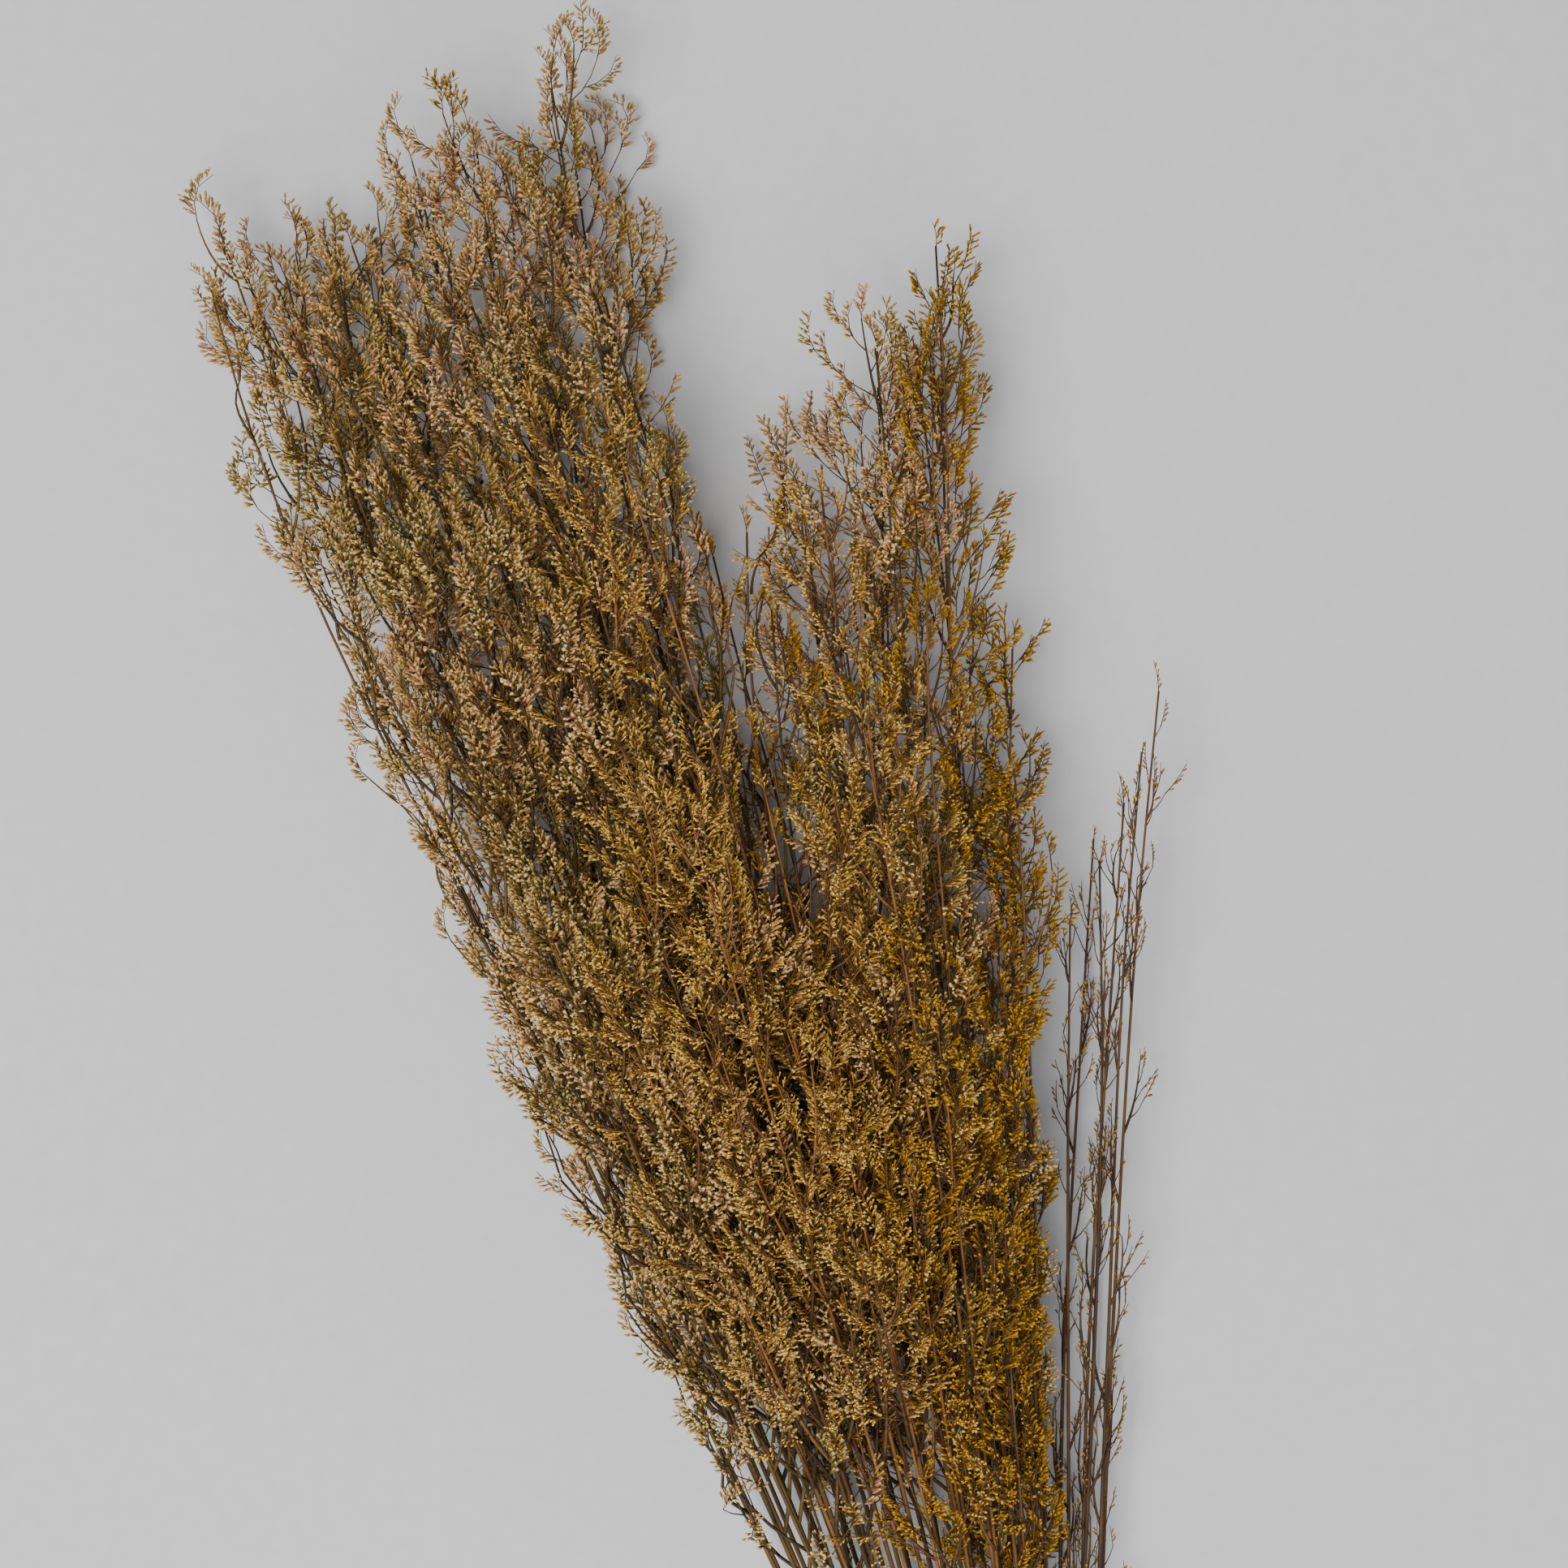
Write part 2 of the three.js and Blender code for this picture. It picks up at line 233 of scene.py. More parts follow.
class Socket:
    """A shader value that can be added, multiplied and so on."""

    def __init__(self, tree, link):
        self.tree, self.link = tree, link

    def node(self, kind, settings=None, inputs=None, output=0):
        made = self.tree.nodes.new(kind)
        for key, value in (settings or {}).items():
            setattr(made, key, value)
        for key, value in (inputs or {}).items():
            if isinstance(value, Socket):
                self.tree.links.new(value.link, made.inputs[key])
            else:
                made.inputs[key].default_value = value
        return Socket(self.tree, made.outputs[output])

    def output(self, number):
        """Another output of the node that this value comes from."""
        return Socket(self.tree, self.link.node.outputs[number])

    def into(self, shader, name):
        self.tree.links.new(self.link, shader.inputs[name])

    def math(self, operation, *values):
        return self.node("ShaderNodeMath", {"operation": operation}, dict(enumerate(values)))

    def __add__(self, other):
        return self.math("ADD", self, other)

    def __sub__(self, other):
        return self.math("SUBTRACT", self, other)

    def __mul__(self, other):
        return self.math("MULTIPLY", self, other)

    def __rsub__(self, other):
        return self.math("SUBTRACT", other, self)

    __radd__ = __add__
    __rmul__ = __mul__

    def ramp(self, low, high):
        inputs = {"Value": self, "From Min": low, "From Max": high}
        return self.node("ShaderNodeMapRange", {"interpolation_type": "SMOOTHSTEP"}, inputs)

    def blend(self, first, second):
        """A colour between two, with this value as the share of the second."""
        first, second = (c if isinstance(c, Socket) else (*c, 1) for c in (first, second))
        inputs = {0: self, 6: first, 7: second}  # the sockets for a share and two colours
        return self.node("ShaderNodeMix", {"data_type": "RGBA"}, inputs, 2)


def new_material(name, **constants):
    """A material with its shader's constants set; returns it, a start socket and the shader."""
    material = bpy.data.materials.new(name)
    material.use_nodes = True
    shader = material.node_tree.nodes["Principled BSDF"]
    for key, value in constants.items():
        shader.inputs[key.replace("_", " ")].default_value = value
    return material, Socket(material.node_tree, None), shader


def srgb(r, g, b):
    """A colour given as seen on screen, 0 to 255, as the shader's linear values."""
    return tuple(
        c / 255 / 12.92 if c <= 10 else ((c / 255 + 0.055) / 1.055) ** 2.4 for c in (r, g, b)
    )


def growth_values(start):
    """The piece's own map, with its two values: a tint, and the place from foot to tip."""
    uv = start.node("ShaderNodeUVMap", {"uv_map": UV_MAP})
    tint = start.node("ShaderNodeSeparateXYZ", {}, {"Vector": uv})
    return uv, tint, tint.output(1)


def flower_material(name, base, body, tip, cool_and_shaded, warm):
    """Papery florets: u is each floret's own tint, v runs from its base to its tip. The low-u cool
    colour is also darker, partly the florets' own tone and partly painted shade.
    """
    material, start, shader = new_material(name, Specular_IOR_Level=0.25)
    uv, u, v = growth_values(start)
    grain = start.node("ShaderNodeTexNoise", {}, {"Vector": uv, "Scale": 60.0, "Detail": 3.0})
    fleck = start.node("ShaderNodeTexNoise", {}, {"Vector": uv, "Scale": 900.0, "Detail": 1.0})
    # The cool end of the tint is a darker colour: partly the florets' own tone, partly painted
    # shade between the plumes.
    tinted_and_shaded = u.ramp(0.08, 0.5).blend(cool_and_shaded, body)
    tinted_and_shaded = u.ramp(0.5, 0.94).blend(tinted_and_shaded, warm)
    lit = (v + (grain - 0.5) * 0.12).ramp(0.28, 0.52).blend(tinted_and_shaded, tip)
    colour = v.ramp(0.0, 0.18).blend(base, lit)
    colour = ((fleck - 0.56) * 1.4).ramp(0.0, 1.0).blend(colour, tip)
    colour.into(shader, "Base Color")
    (0.72 + grain * 0.25).into(shader, "Roughness")
    return material


def stem_material(name, low, high, dark):
    """Dry stems: v runs from foot to tip, u is each limb's own tint."""
    material, start, shader = new_material(name, Specular_IOR_Level=0.35)
    uv, u, v = growth_values(start)
    streak = start.node("ShaderNodeTexNoise", {}, {"Vector": uv, "Scale": 70.0, "Detail": 4.0})
    colour = v.ramp(0.55, 0.9).blend(low, high)
    colour = (u * 0.8 + streak * 0.9 - 0.5).ramp(0.08, 0.7).blend(dark, colour)
    colour.into(shader, "Base Color")
    (0.5 + streak * 0.35).into(shader, "Roughness")
    return material


# ---------------------------------------------------------------- varieties
# branches per half metre of stalk; where flowering starts, against the height over the tie;
# lengths in mm; angles in degrees from the parent limb; sprigs for each twig.

KINDS = {
    "blush_stalk": dict(
        rise=0.31, branches=14, branch=(30, 92), open=36, reach=17, twigs=7, twig=(10, 25),
        twig_open=46, twig_reach=34, sprigs=2, sprig="comb", floret=(3.0, 1.25),
        slot="blush_flowers",
    ),
    "wheat_stalk": dict(
        rise=0.48, branches=15, branch=(26, 84), open=36, reach=18, twigs=8, twig=(9, 23),
        twig_open=54, twig_reach=38, sprigs=2, sprig="ear", floret=(2.7, 0.85),
        slot="wheat_flowers",
    ),
    "mustard_stalk": dict(
        rise=0.28, branches=13, branch=(24, 66), open=34, reach=15, twigs=8, twig=(8, 19),
        twig_open=50, twig_reach=34, sprigs=2, sprig="cluster", floret=(2.9, 1.05),
        slot="mustard_flowers",
    ),
    "bare_stalk": dict(
        rise=0.26, branches=11, branch=(10, 34), open=24, reach=9, twigs=4, twig=(3, 9),
        twig_open=34, twig_reach=20, sprigs=1, sprig="bud", floret=(2.1, 0.85),
        slot="bare_stems",
    ),
}

# How the florets stand on one sprig: teeth along it, mm between them, how far it curls over,
# how far the teeth lean from it and to both sides, all in degrees, and florets in each tooth.
SPRIGS = {
    "comb": dict(teeth=11, spacing=1.2, curl=85, lean=38, splay=32, line=2),
    "ear": dict(teeth=7, spacing=1.25, curl=24, lean=30, splay=36, line=2),
    "cluster": dict(teeth=6, spacing=1.3, curl=26, lean=30, splay=36, line=2),
    "bud": dict(teeth=3, spacing=1.6, curl=14, lean=24, splay=26, line=1),
}
FLATTENING = 0.55  # the lying bunch holds its florets nearer level than upright


def floret_master():
    """One floret, 1 long, along +Z: three-sided, pointed at its foot, filled out below the
    middle, and widest at its blunt end."""
    waist = -0.08  # where it is filled out, from the middle
    bpy.ops.object.select_all(action="DESELECT")
    bpy.ops.mesh.primitive_cone_add(
        vertices=3, radius1=0, radius2=0.46, depth=1, location=(0, 0, 0), end_fill_type="NGON",
    )
    bud = bpy.context.object
    bpy.ops.object.mode_set(mode="EDIT")
    bpy.ops.mesh.select_all(action="SELECT")
    bpy.ops.mesh.remove_doubles(threshold=0.001)
    bpy.ops.mesh.bisect(plane_co=(0, 0, waist), plane_no=(0, 0, 1))
    bud_mesh = bmesh.from_edit_mesh(bud.data)
    for vertex in bud_mesh.verts:
        vertex.select = abs(vertex.co.z - waist) < 0.01
    bud_mesh.select_flush_mode()
    bmesh.update_edit_mesh(bud.data)
    bpy.ops.transform.resize(value=(1.9, 1.9, 1), center_override=(0, 0, waist))
    bpy.ops.mesh.select_all(action="SELECT")
    bpy.ops.transform.translate(value=(0, 0, 0.5))
    bpy.ops.mesh.quads_convert_to_tris()
    bpy.ops.mesh.normals_make_consistent(inside=False)
    bpy.ops.object.mode_set(mode="OBJECT")
    verts = np.array([tuple(v.co) for v in bud.data.vertices])
    faces = np.array([tuple(f.vertices) for f in bud.data.polygons])
    bpy.data.objects.remove(bud)
    return verts, faces


def sprig_master(form, rng):
    """One sprig along +X, with its florets on the +Z side.

    Returns its spine as points, and for each floret its place, direction and size."""
    teeth = form["teeth"] + int(rng.integers(-2, 3))
    bend = math.radians(form["curl"]) * rng.uniform(0.5, 1.2)
    heading = -bend * np.linspace(0, 1, teeth + 2) ** 1.4
    step = form["spacing"] * MM
    steps = np.stack([np.cos(heading) * step, np.zeros(teeth + 2), np.sin(heading) * step], 1)
    spine = np.concatenate([np.zeros((1, 3)), np.cumsum(steps, 0)])
    places, ways, sizes = [], [], []
    for k in range(teeth):
        shrink = 1 - 0.4 * (k / teeth) ** 2
        lean = heading[k] + math.radians(form["lean"]) * rng.uniform(0.7, 1.3)
        splay = math.radians(form["splay"]) * (1 if k % 2 else -1) * rng.uniform(0.4, 1.3)
        flat = math.cos(splay)
        way = np.array([math.cos(lean) * flat, math.sin(splay), math.sin(lean) * flat])
        place = spine[k + 1].copy()
        for n in range(form["line"]):
            places.append(place + rng.normal(0, 0.15, 3) * MM)
            ways.append(unit(way + rng.normal(0, 0.13, 3)))
            sizes.append(shrink * rng.uniform(0.85, 1.15) * (0.9 if n else 1))
            place = place + way * 1.8 * MM * shrink
    keep = np.linspace(0, len(spine) - 1, 4).astype(int)
    return spine[keep], np.array(places), np.array(ways), np.array(sizes)


def tie_middle():
    low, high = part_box("twine_tie")
    return (low + high) / 2


def centreline(node):
    """The middle of a stalk's stem, read from its rings: STEM_SIDES points at one height."""
    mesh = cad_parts[node].data
    points = np.empty(len(mesh.vertices) * 3, np.float32)
    mesh.vertices.foreach_get("co", points)
    points = points.reshape(-1, 3).astype(float)
    points = points[np.argsort(points[:, 1])]
    rings = []
    for group in np.split(points, np.nonzero(np.diff(points[:, 1]) > SAME_HEIGHT)[0] + 1):
        apart = np.linalg.norm(group[:, None] - group[None], axis=2) > SAME_POINT
        group = group[[i for i in range(len(group)) if apart[i, :i].all()]]
        middle = group.mean(0)
        reach = np.linalg.norm(group - middle, axis=1)
        reach = reach[reach > 0.2 * reach.max()]
        round_enough = len(reach) == STEM_SIDES and reach.std() < 0.04 * reach.mean()
        if round_enough and (not rings or middle[1] - rings[-1][1] > RING_GAP):
            rings.append(middle)
    rings = np.array(rings)
    if len(rings) < 4:
        raise RuntimeError(f"{node} has too few rings to follow")
    y = rings[:, 1]
    slope = np.gradient(rings, y, axis=0)
    height = mix(y[0], y[-1], np.linspace(0, 1, STEM_POINTS))
    k = np.clip(np.searchsorted(y, height) - 1, 0, len(y) - 2)
    span = (y[k + 1] - y[k])[:, None]
    t = ((height - y[k])[:, None]) / span
    a, b = rings[k], rings[k + 1]
    return (
        (2 * t**3 - 3 * t**2 + 1) * a + (t**3 - 2 * t**2 + t) * span * slope[k]
        + (3 * t**2 - 2 * t**3) * b + (t**3 - t**2) * span * slope[k + 1]
    )


class Outline:
    """The flowering stems' outline from above and the parting between their two lobes.

    Sprays are bent back when they stand out too far from it."""

    STEP = 10 * MM
    BEYOND = 70 * MM  # a stem's line still counts this far past its tip
    PARTED_AT = 0.88  # the lobes stand apart here, as a share of the bunch's length
    GIVE = 6 * MM  # past the limit, sprays stand out at the most this much further
    RAGGED = 7 * MM  # the limits wander in and out this much
    FLOOR_ROOM = 8 * MM  # sprays lower than this are bent up from the surface
    ROOF_ROOM = 1 * MM  # and those higher than this far under the top are bent down

    def __init__(self, stems, tie_y):
        flowering = {node: s for node, s in stems.items() if not node.startswith("bare")}
        parted_y = mix(CAD_LOW.y, CAD_HIGH.y, self.PARTED_AT)
        at = {node: self.line(s, parted_y) for node, s in flowering.items()}
        tall = [node for node, s in flowering.items() if s[-1, 1] > parted_y - self.BEYOND]
        inner = sorted(at[node] for node in tall)[2:-2]
        gap = int(np.argmax(np.diff(inner)))
        parting = (inner[gap] + inner[gap + 1]) / 2
        self.lobe = {node: "left" if x < parting else "right" for node, x in at.items()}
        left = [s for node, s in flowering.items() if self.lobe[node] == "left"]
        right = [s for node, s in flowering.items() if self.lobe[node] == "right"]

        self.heights = np.arange(CAD_LOW.y, CAD_HIGH.y + 3 * self.STEP, self.STEP)
        middle = (self.edge(left, max) + self.edge(right, min)) / 2
        self.middle, self.tie_y = middle, tie_y
        # In metres over the tie: the lobes cross low down and part between 0.32 and 0.54,
        # and the right lobe is drawn in below 0.30 and swells past its stems above 0.42.
        over_tie = self.heights - tie_y
        overlap = mix(20, -18, smooth(over_tie, 0.32, 0.54)) * MM
        flare = mix(-9, 9, smooth(over_tie, 0.30, 0.42)) * MM
        self.limits = {
            "left": (self.edge(left, min) + 2 * MM, middle + overlap),
            "right": (middle - overlap, self.edge(right, max) + flare),
        }

    def line(self, stem, y):
        """Where a stem, or the straight line on past its tip, stands at a height."""
        slope = (stem[-1, 0] - stem[-6, 0]) / (stem[-1, 1] - stem[-6, 1])
        return np.interp(y, stem[:, 1], stem[:, 0]) + max(0.0, y - stem[-1, 1]) * slope

    def edge(self, stems, choose):
        edge = []
        for y in self.heights:
            across = [self.line(s, y) for s in stems if s[0, 1] < y < s[-1, 1] + self.BEYOND]
            edge.append(choose(across) if across else (edge[-1] if edge else 0.0))
        padded = np.pad(edge, 2, mode="edge")
        return np.convolve(padded, np.full(5, 0.2), mode="valid")

    def soften(self, values, low, high):
        for over, sign in ((np.maximum(low - values, 0), 1), (np.maximum(values - high, 0), -1)):
            values = values + sign * (over - self.GIVE * (1 - np.exp(-over / self.GIVE)))
        return values

    def hold(self, node, points):
        held = points.copy()
        low, high = CAD_LOW.z + self.FLOOR_ROOM, CAD_HIGH.z - self.ROOF_ROOM
        held[..., 2] = self.soften(points[..., 2], low, high)
        if node in self.lobe:
            limits = self.limits[self.lobe[node]]
            low, high = (np.interp(points[..., 1], self.heights, limit) for limit in limits)
            ragged = self.RAGGED * patches(points, RAGGED_PATCH, 11)
            held[..., 0] = self.soften(points[..., 0], low - ragged, high + ragged)
        return held

    def thinning(self, node, points):
        """The share of sprays that grow: few between the lobes, and half at the left edge."""
        if node not in self.lobe:
            return np.ones(len(points))
        x, y = points[:, 0], points[:, 1]
        edge = np.interp(y, self.heights, self.limits["left"][0])
        middle = np.interp(y, self.heights, self.middle)
        open_gap = 1 - smooth(np.abs(x - middle), 4 * MM, 14 * MM)
        parting = open_gap * smooth(y - self.tie_y, 0.32, 0.40)
        return mix(0.45, 1, smooth(x - edge, 3 * MM, 22 * MM)) * (1 - 0.9 * parting)


def level_out(angle, share):
    """Turns directions round a limb towards level, to both sides."""
    return angle - share * np.sin(2 * angle)


def grow(node, stem, outline, materials, floret, seed):
    """One whole stalk: stem, branches, twigs and florets."""
    rng = np.random.default_rng(seed)
    kind = next(k for k in KINDS if node.startswith(k))
    form = KINDS[kind]
    shape = Shape()

    stem = stem[None]
    foot, tip = stem[0, 0, 1], stem[0, -1, 1]
    tie_y = tie_middle().y
    height = tip - tie_y
    radii = mix(FOOT_RADIUS, STEM_TIP_RADIUS, np.linspace(0, 1, stem.shape[1]) ** 0.5)[None]
    shape.tubes(stem, radii, 6, rng.uniform(0.2, 0.8, 1), 1)

    # Branches stand one above another, turned by the golden angle.
    count = max(3, int(form["branches"] * height / 0.5))
    place = (np.arange(count) + rng.uniform(0, 0.6, count)) / count
    rise_y = tie_y + form["rise"] * height
    at = (mix(rise_y, tip - 6 * MM, place) - foot) / (tip - foot)
    start, tangent = along(stem, np.zeros(count, int), at)
    turn = rng.uniform(0, TAU) + np.arange(count) * GOLDEN_ANGLE
    side = sideways(tangent, level_out(turn, 0.2))
    short, long = form["branch"]
    length = mix(long, short, place**1.3) * rng.uniform(0.7, 1.15, count) * MM
    length = np.minimum(length, (tip - start[:, 1]) * 1.05 + 14 * MM)
    opened = np.radians(form["open"]) * rng.uniform(0.75, 1.25, count)
    reach = np.radians(form["reach"]) * rng.uniform(0.6, 1.3, count)
    free = arcs(start, tangent, side, length, opened, reach, 8)
    bent = np.abs(outline.hold(node, free)[:, -1, 0] - free[:, -1, 0])
    length = length * (1 - 0.6 * np.clip(bent / (25 * MM), 0, 1))
    branches = outline.hold(node, arcs(start, tangent, side, length, opened, reach, 8))
    stout = (0.7 + 0.5 * length / 0.09).clip(0.6, 1.2)
    thick = np.linspace(0.62, 0.24, 8)[None] * stout[:, None] * MM
    shape.tubes(branches, thick, 4, rng.uniform(0.2, 0.8, count), 1)

    # Twigs along the branches and along the stem's own top.
    top = along(stem, np.zeros(8, int), np.linspace(at[-1] * 0.86, 0.999, 8))[0][None]
    paths = np.concatenate([branches, top])
    per = np.maximum(3, form["twigs"] * (length / (long * MM)).clip(0.4, 1.2))
    per = np.append(per, form["twigs"] + 2).round().astype(int)
    owner = np.repeat(np.arange(len(paths)), per)
    order = np.concatenate([np.arange(n) / n for n in per])
    t = mix(0.25, 0.985, order) + rng.uniform(-0.03, 0.03, len(owner))
    start, tangent = along(paths, owner, t)
    outward = np.append(turn, rng.uniform(0, TAU))[owner]
    twig_turn = outward + np.where(np.arange(len(owner)) % 2, 0.9, -0.9)
    twig_turn = level_out(twig_turn + rng.normal(0, 0.5, len(owner)), 0.35)
    side = sideways(tangent, twig_turn)
    short, long = form["twig"]
    length = mix(long, short, order) * rng.uniform(0.7, 1.25, len(owner)) * MM
    opened = np.radians(form["twig_open"]) * rng.uniform(0.75, 1.2, len(owner))
    reach = np.radians(form["twig_reach"]) * rng.uniform(0.6, 1.3, len(owner))
    free = arcs(start, tangent, side, length, opened, reach, 4)
    twigs = outline.hold(node, free)
    keep = np.abs(twigs[:, -1, 0] - free[:, -1, 0]) < rng.uniform(2, 12, len(owner)) * MM
    keep &= rng.uniform(0, 1, len(owner)) < outline.thinning(node, twigs[:, -1])
    twigs, twig_turn = twigs[keep], twig_turn[keep]
    thick = np.linspace(0.3, 0.15, 4)[None].repeat(len(twigs), 0) * MM
    shape.tubes(twigs, thick, 3, rng.uniform(0.2, 0.8, len(twigs)), 1)

    # Sprigs at the twigs' ends and part of the way along them.
    spots = [np.full(len(twigs), 0.97)]
    for n in range(1, form["sprigs"]):
        spots.append(rng.uniform(0.25, 0.8, len(twigs)))
    owner = np.tile(np.arange(len(twigs)), len(spots))
    start, tangent = along(twigs, owner, np.concatenate(spots))
    ends, directions = along(paths, np.arange(len(paths)), np.full(len(paths), 0.999))
    start, tangent = np.concatenate([start, ends]), np.concatenate([tangent, directions])
    out = np.concatenate([twig_turn[owner], level_out(np.append(turn, 0), 0.35)])
    forward = unit(tangent + rng.normal(0, 0.18, tangent.shape))
    lift = unit(np.cross(forward, np.cross(sideways(forward, out), forward)))
    across = np.cross(lift, forward)
    axes = np.stack([forward, across, lift], 1)
    masters = [sprig_master(SPRIGS[form["sprig"]], rng) for _ in range(6)]
    choice = rng.integers(0, len(masters), len(start))
    scale = rng.uniform(0.75, 1.15, len(start))
    for k, master in enumerate(masters):
        who = np.nonzero(choice == k)[0]
        if len(who):
            add_sprigs(shape, kind, master, floret, start[who], axes[who], scale[who], rng)

    piece = shape.build(node + "_grown", materials[kind])
    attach(piece, "root")
    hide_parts(node)
    return piece


def add_sprigs(shape, kind, master, floret, origin, axes, grown, rng):
    """Copies of one sprig: its spine, and the floret set at each place on it."""
    spine, places, ways, sizes = master
    verts, faces = floret
    long, wide = KINDS[kind]["floret"]
    line = np.einsum("mi,sij->smj", spine, axes) * grown[:, None, None] + origin[:, None]
    thick = np.linspace(0.24, 0.12, len(spine))[None].repeat(len(origin), 0) * MM
    shape.tubes(line, thick, 3, rng.uniform(0.2, 0.8, len(origin)), 1)

    centre = np.einsum("fi,sij->sfj", places, axes) * grown[:, None, None] + origin[:, None]
    way = np.einsum("fi,sij->sfj", ways, axes)
    count = centre.shape[0] * centre.shape[1]
    centre, way = centre.reshape(count, 3), way.reshape(count, 3)
    way = unit(way * (1, 1, FLATTENING))
    roll = rng.uniform(0, TAU, count)
    first = sideways(way, roll)
    second = np.cross(way, first)
    size = (sizes[None] * grown[:, None] ** 0.5).reshape(count)
    size = size * rng.uniform(0.85, 1.15, count) * MM
    size = size * bpy.context.scene.bundle_settings.floret_scale
    body = (
        first[:, None] * (verts[:, 0] * wide)[None, :, None]
        + second[:, None] * (verts[:, 1] * wide)[None, :, None]
        + way[:, None] * (verts[:, 2] * long)[None, :, None]
    ) * size[:, None, None] + centre[:, None]
    # Each sprig and each patch get a random tint. With the darker cool colour, this also makes
    # whole sprigs darker or lighter: partly own tone, partly painted shade between the plumes.
    own = np.repeat(rng.normal(0, 0.17, len(origin)), len(places)) + rng.normal(0, 0.1, count)
    tint = 0.5 + 0.26 * patches(centre, TINT_AND_SHADE_PATCH, 5) + own + tint_shift(kind, centre)
    facet = 0.006 * (verts[:, 0] + 0.5)
    uv = np.stack([
        np.clip(tint, 0.02, 0.97)[:, None] + facet[None],
        np.broadcast_to(mix(*FLORET_BAND, verts[:, 2]), (count, len(verts))),
    ], -1)
    shape.add(body, faces[None] + (np.arange(count) * len(verts))[:, None, None], uv, 0)


def tint_shift(kind, points):
    """Blush stalks turn olive towards the left edge's foot and pinker towards the middle."""
    if kind != "blush_stalk":
        return 0.0
    low, high = CAD_LOW, CAD_HIGH
    across = (points[:, 0] - low.x) / (high.x - low.x)
    up = (points[:, 1] - low.y) / (high.y - low.y)
    return 0.12 * smooth(across, 0.1, 0.6) - 0.3 * (1 - smooth(up, 0.25, 0.6))


# ---------------------------------------------------------------- settings and operators


def colour_setting(name, description, r, g, b):
    return FloatVectorProperty(
        name=name, description=description, default=srgb(r, g, b), size=3, min=0, max=1,
        subtype="COLOR",
    )


class BundleSettings(bpy.types.PropertyGroup):
    floret_scale: FloatProperty(
        name="Floret size", description="Size of every floret against the grown size",
        default=1.0, min=0.5, max=1.5,
    )
    seed: IntProperty(name="Seed", description="Starts the stalks' random growth", default=7, min=0)
    frame_height: FloatProperty(
        name="Frame height", description="Length of the bunch that the camera takes in",
        default=0.502, unit="LENGTH",
    )
    frame_centre: FloatVectorProperty(
        name="Frame centre", description="Middle of the picture, from the middle of the tie",
        default=(-0.077, 0.416), size=2, subtype="XYZ", unit="LENGTH",
    )
    blush: colour_setting("Blush", "Body of the blush florets", 146, 109, 42)
    blush_tip: colour_setting("Blush tips", "Tips of the blush florets", 220, 191, 130)
    wheat: colour_setting("Wheat", "Body of the wheat florets", 160, 115, 22)
    wheat_tip: colour_setting("Wheat tips", "Tips of the wheat florets", 232, 197, 108)
    mustard: colour_setting("Mustard", "Body of the mustard florets", 128, 87, 0)
    mustard_tip: colour_setting("Mustard tips", "Tips of the mustard florets", 198, 150, 22)
    twine: colour_setting("Twine", "The twine where it is palest", 190, 158, 112)


class BUNDLE_OT_stalks(bpy.types.Operator):
    """Grow every stalk along its stem"""

    bl_idname = "bundle.stalks"
    bl_label = "Grow Stalks"

    def execute(self, context):
        settings = context.scene.bundle_settings
        floret = floret_master()
        barks = {
            "blush_stalk": stem_material(
                "blush_stem", srgb(102, 80, 38), srgb(96, 70, 22), srgb(38, 27, 4)),
            "wheat_stalk": stem_material(
                "wheat_stem", srgb(118, 84, 42), srgb(140, 92, 40), srgb(60, 38, 14)),
            "mustard_stalk": stem_material(
                "mustard_stem", srgb(102, 74, 36), srgb(104, 70, 24), srgb(44, 27, 8)),
            "bare_stalk": stem_material(
                "bare_stem", srgb(88, 58, 24), srgb(106, 72, 28), srgb(42, 27, 9)),
        }
        flowers = {
            # In each floret material the second-last colour, the cool end, is darker: partly own
            # tone, partly painted shade.
            "blush_stalk": flower_material(
                "blush_floret", srgb(64, 42, 2), tuple(settings.blush), tuple(settings.blush_tip),
                srgb(106, 92, 24), srgb(168, 116, 78)),
            "wheat_stalk": flower_material(
                "wheat_floret", srgb(88, 58, 2), tuple(settings.wheat), tuple(settings.wheat_tip),
                srgb(126, 94, 10), srgb(174, 124, 44)),
            "mustard_stalk": flower_material(
                "mustard_floret", srgb(66, 40, 0), tuple(settings.mustard),
                tuple(settings.mustard_tip), srgb(104, 76, 0), srgb(148, 98, 0)),
            "bare_stalk": flower_material(
                "bare_floret", srgb(88, 58, 22), srgb(138, 98, 40), srgb(176, 140, 78),
                srgb(110, 84, 32), srgb(150, 106, 50)),
        }
        materials = {k: (flowers[k], barks[k]) for k in KINDS}
        names = sorted(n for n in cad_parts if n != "twine_tie")
        stems = {node: centreline(node) for node in names}
        outline = Outline(stems, tie_middle().y)
        seed = settings.seed * 1000
        for number, node in enumerate(names):
            grow(node, stems[node], outline, materials, floret, seed + number)
        return {"FINISHED"}


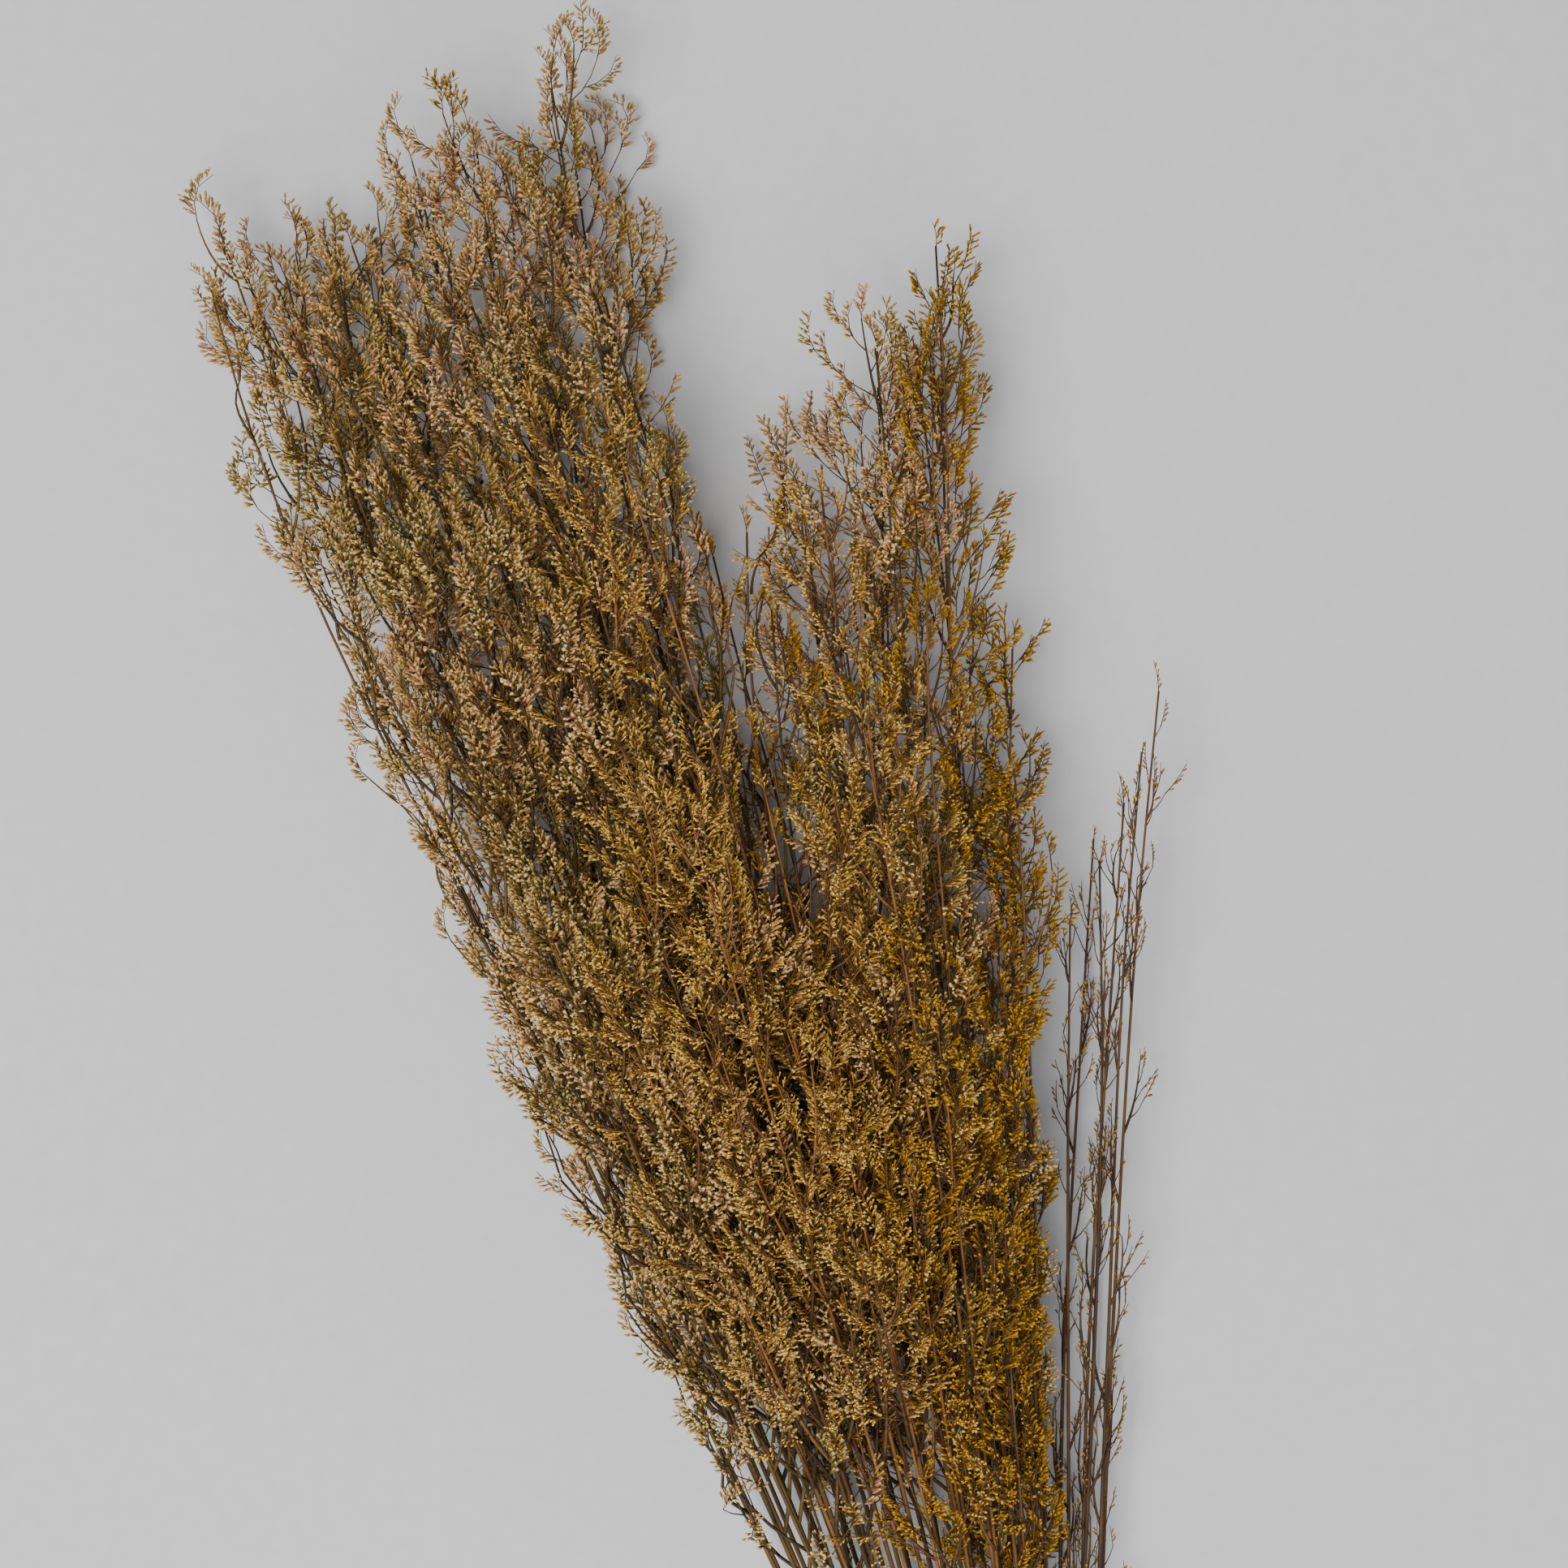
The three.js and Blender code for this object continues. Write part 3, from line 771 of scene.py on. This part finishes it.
class BUNDLE_OT_tie(bpy.types.Operator):
    """Wind the twine tie around the stems"""

    bl_idname = "bundle.tie"
    bl_label = "Wind Tie"

    def round_the_stems(self, heights, clear):
        """A closed loop drawn tight round all the stems, as x and z, in even steps."""
        stems = [centreline(n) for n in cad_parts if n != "twine_tie"]
        middles = np.array([
            [np.interp(y, s[:, 1], s[:, i]) for i in (0, 2)] for s in stems for y in heights
        ])
        angle = -math.pi / 2 + np.linspace(0, TAU, 1440, endpoint=False)
        facing = np.stack([np.cos(angle), np.sin(angle)], 1)
        corners = middles[np.argmax(facing @ middles.T, axis=1)] + facing * clear
        corners = np.concatenate([corners, corners[:1]])
        length = np.append(0, np.cumsum(np.linalg.norm(np.diff(corners, axis=0), axis=1)))
        even = np.linspace(0, length[-1], 180, endpoint=False)
        return np.stack([np.interp(even, length, corners[:, i]) for i in (0, 1)], 1)

    def execute(self, context):
        low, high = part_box("twine_tie")
        radius = TWINE_RADIUS
        loop = self.round_the_stems((low.y, (low.y + high.y) / 2, high.y), FOOT_RADIUS + radius)
        phase = np.linspace(0, 1, TWINE_TURNS * TWINE_STEPS + 1)
        around = (phase * TWINE_TURNS) % 1 * len(loop)
        k = around.astype(int) % len(loop)
        at = loop[k] + (loop[(k + 1) % len(loop)] - loop[k]) * (around - np.floor(around))[:, None]
        path = np.stack([at[:, 0], mix(low.y + radius, high.y - radius, phase), at[:, 1]], 1)
        tangent = unit(np.gradient(path, axis=0))
        outward = unit(np.cross(tangent, (0, 1, 0)))
        beside = np.cross(tangent, outward)
        shape = Shape()
        strands = []
        length = np.cumsum(np.append(0, np.linalg.norm(np.diff(path, axis=0), axis=1)))
        for k in range(3):
            lay = (length / TWINE_LAY * TAU + k * TAU / 3)[:, None]
            strands.append(path + (outward * np.cos(lay) + beside * np.sin(lay)) * radius * 0.5)
        radii = np.full((3, len(path)), radius * 0.56)
        radii[:, [0, -1]] *= 0.6
        shape.tubes(np.array(strands), radii, 7, np.array([0.2, 0.5, 0.8]), 0)
        pale = tuple(context.scene.bundle_settings.twine)
        material = stem_material("jute_twine", srgb(168, 136, 92), pale, srgb(120, 92, 58))
        piece = shape.build("twine_tie_wound", [material])
        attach(piece, "root")
        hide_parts("twine_tie")
        return {"FINISHED"}


class BUNDLE_OT_stage(bpy.types.Operator):
    """Lay the surface and place the lights and the camera"""

    bl_idname = "bundle.stage"
    bl_label = "Set Stage"

    def execute(self, context):
        settings = context.scene.bundle_settings
        tie = tie_middle()
        centre = Vector((tie.x + settings.frame_centre[0], tie.y + settings.frame_centre[1], 0.04))

        bpy.ops.object.select_all(action="DESELECT")
        bpy.ops.mesh.primitive_plane_add(size=14, location=(0, 0, -FLOOR_GAP))
        floor = context.object
        floor.name = "pale_surface"
        material, start, shader = new_material(
            "pale_plaster", Roughness=0.9, Specular_IOR_Level=0.2)
        place = start.node("ShaderNodeTexCoord", {}, {}, 3)  # output 3 is Object

        def noise(scale, detail):
            inputs = {"Vector": place, "Scale": scale, "Detail": detail}
            return start.node("ShaderNodeTexNoise", {}, inputs)

        shade = (noise(160.0, 3.0) * 0.5 + noise(2.0, 2.0) * 0.5).ramp(0.2, 0.8)
        colour = shade.blend((0.52, 0.525, 0.545), (0.57, 0.575, 0.59))
        colour.into(shader, "Base Color")
        dents = {"Strength": 0.12, "Distance": 0.002, "Height": noise(110.0, 2.0)}
        start.node("ShaderNodeBump", {}, dents).into(shader, "Normal")
        floor.data.materials.append(material)

        def area(name, offset, size, energy, colour):
            light = bpy.data.lights.new(name, "AREA")
            light.size, light.energy, light.color = size, energy, colour
            lamp = bpy.data.objects.new(name, light)
            lamp.location = centre + Vector(offset)
            lamp.rotation_mode = "QUATERNION"
            lamp.rotation_quaternion = (centre - lamp.location).to_track_quat("-Z", "Y")
            context.scene.collection.objects.link(lamp)

        area("key", (-0.6, -0.3, 2.2), 1.1, 70, (1.0, 0.97, 0.93))
        area("fill", (0.2, -1.7, 1.6), 1.6, 22, (0.98, 0.98, 1.0))
        world = bpy.data.worlds.new("soft_room")
        world.use_nodes = True
        world.node_tree.nodes["Background"].inputs["Color"].default_value = (0.92, 0.95, 1.0, 1)
        world.node_tree.nodes["Background"].inputs["Strength"].default_value = 0.4
        context.scene.world = world

        camera = bpy.data.cameras.new("camera")
        camera.lens, camera.sensor_width = 100, 36
        camera.clip_start, camera.clip_end = 0.05, 50
        eye = bpy.data.objects.new("camera", camera)
        distance = settings.frame_height * camera.lens / camera.sensor_width
        eye.location = centre + Vector((0, 0, distance))
        context.scene.collection.objects.link(eye)
        context.scene.camera = eye
        return {"FINISHED"}


class BUNDLE_PT_panel(bpy.types.Panel):
    """Buttons and settings for the bunch"""

    bl_idname = "BUNDLE_PT_panel"
    bl_label = "Dried Flower Bundle"
    bl_space_type = "VIEW_3D"
    bl_region_type = "UI"
    bl_category = "Bundle"

    def draw(self, context):
        settings = context.scene.bundle_settings
        for name in BundleSettings.__annotations__:
            self.layout.prop(settings, name)
        for operator in (BUNDLE_OT_stalks, BUNDLE_OT_tie, BUNDLE_OT_stage):
            self.layout.operator(operator.bl_idname)


CLASSES = (BundleSettings, BUNDLE_OT_stalks, BUNDLE_OT_tie, BUNDLE_OT_stage, BUNDLE_PT_panel)


def register():
    for cls in CLASSES:
        bpy.utils.register_class(cls)
    bpy.types.Scene.bundle_settings = PointerProperty(type=BundleSettings)


def unregister():
    del bpy.types.Scene.bundle_settings
    for cls in reversed(CLASSES):
        bpy.utils.unregister_class(cls)


def main():
    register()
    bpy.ops.bundle.stalks()
    bpy.ops.bundle.tie()
    bpy.ops.bundle.stage()


if __name__ == "__main__":
    main()
